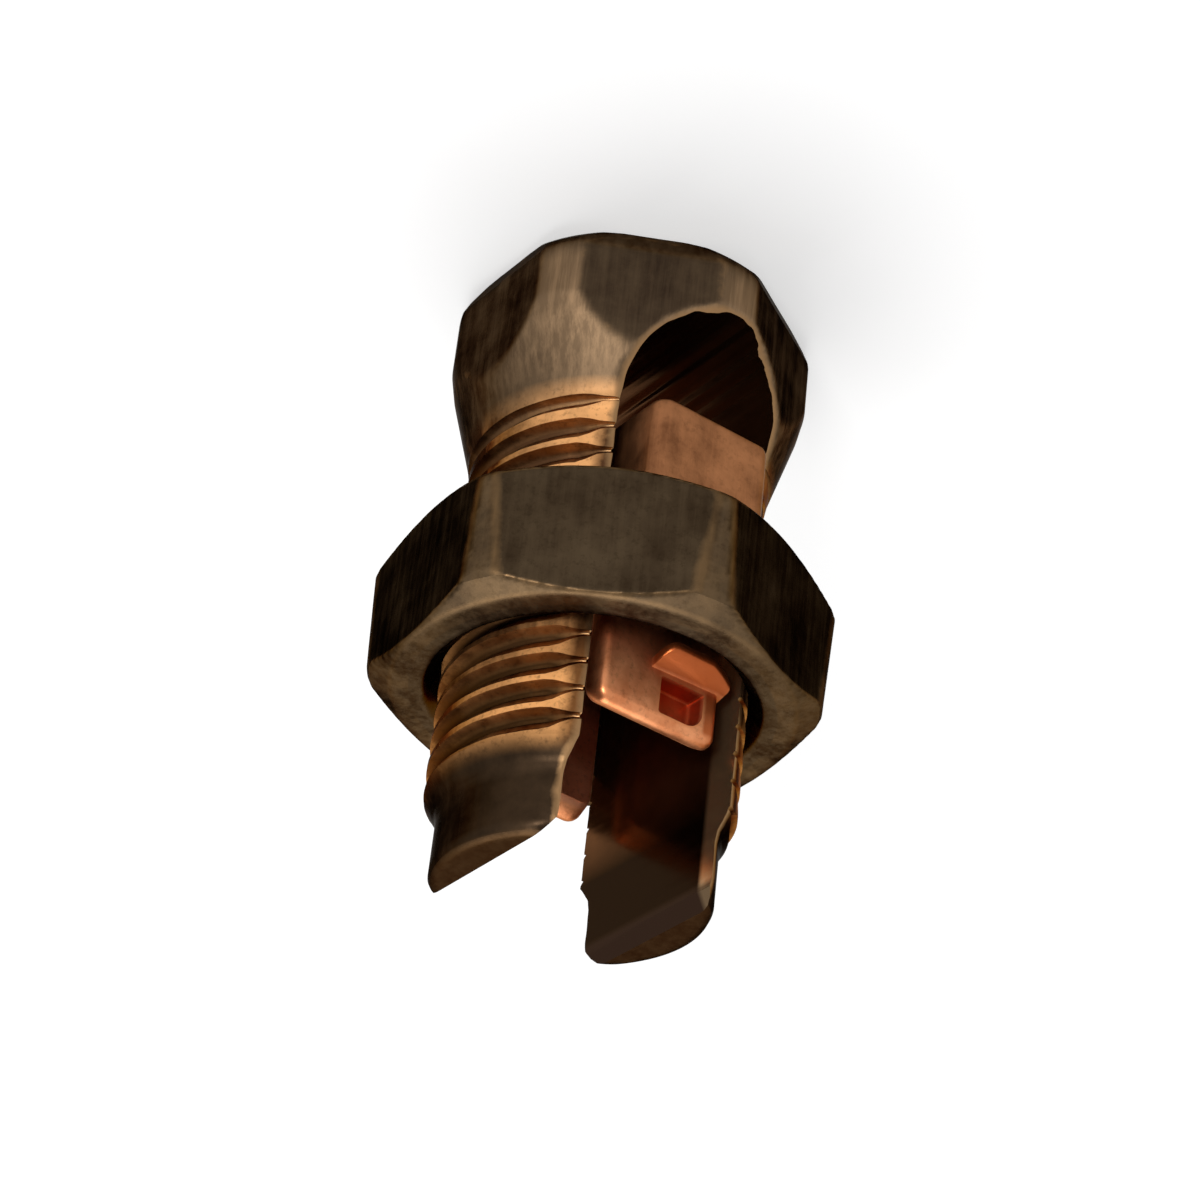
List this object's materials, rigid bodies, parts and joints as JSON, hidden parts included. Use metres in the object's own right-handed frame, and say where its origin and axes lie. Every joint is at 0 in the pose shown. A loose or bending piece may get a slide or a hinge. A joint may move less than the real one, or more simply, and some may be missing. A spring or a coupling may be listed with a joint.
{
  "type": "split bolt connector",
  "caption": "Slotted hex bolt with a hex nut and captive copper pressure bar that clamps electrical conductors lying in the slot.",
  "frame": {"origin": "centre of the head's flat end, on which the connector stands", "axes": "+Z along the bolt from the head to the leg tips; the slot runs through along Y; the legs stand at +X and -X"},
  "size_m": [0.0178, 0.0192, 0.0285],
  "materials": {
    "bronze_bolt": "oxidised bronze, brighter on the thread crests and worn edges",
    "bronze_nut": "brushed, darkened bronze with worn edges",
    "copper_bar": "satin copper, dulled and pinkish"
  },
  "bodies": {
    "bolt": {"split_bolt": "bronze_bolt"},
    "bar": {"pressure_bar": "copper_bar"},
    "nut": {"hex_nut": "bronze_nut"}
  },
  "joints": [
    {"name": "bar_slide", "type": "slide", "parent": "bolt", "child": "bar", "axis": [0, 0, 1], "range_m": [-0.00318, 0.02033]},
    {"name": "nut_spin", "type": "hinge", "parent": "bar", "child": "nut", "pos_m": [0, 0, 0.0163], "axis": [0, 0, 1], "range_deg": [-900, 5760]}
  ],
  "couplings": [
    {"joint": "bar_slide", "follows": "nut_spin", "m_per_rad": 0.00020213}
  ]
}
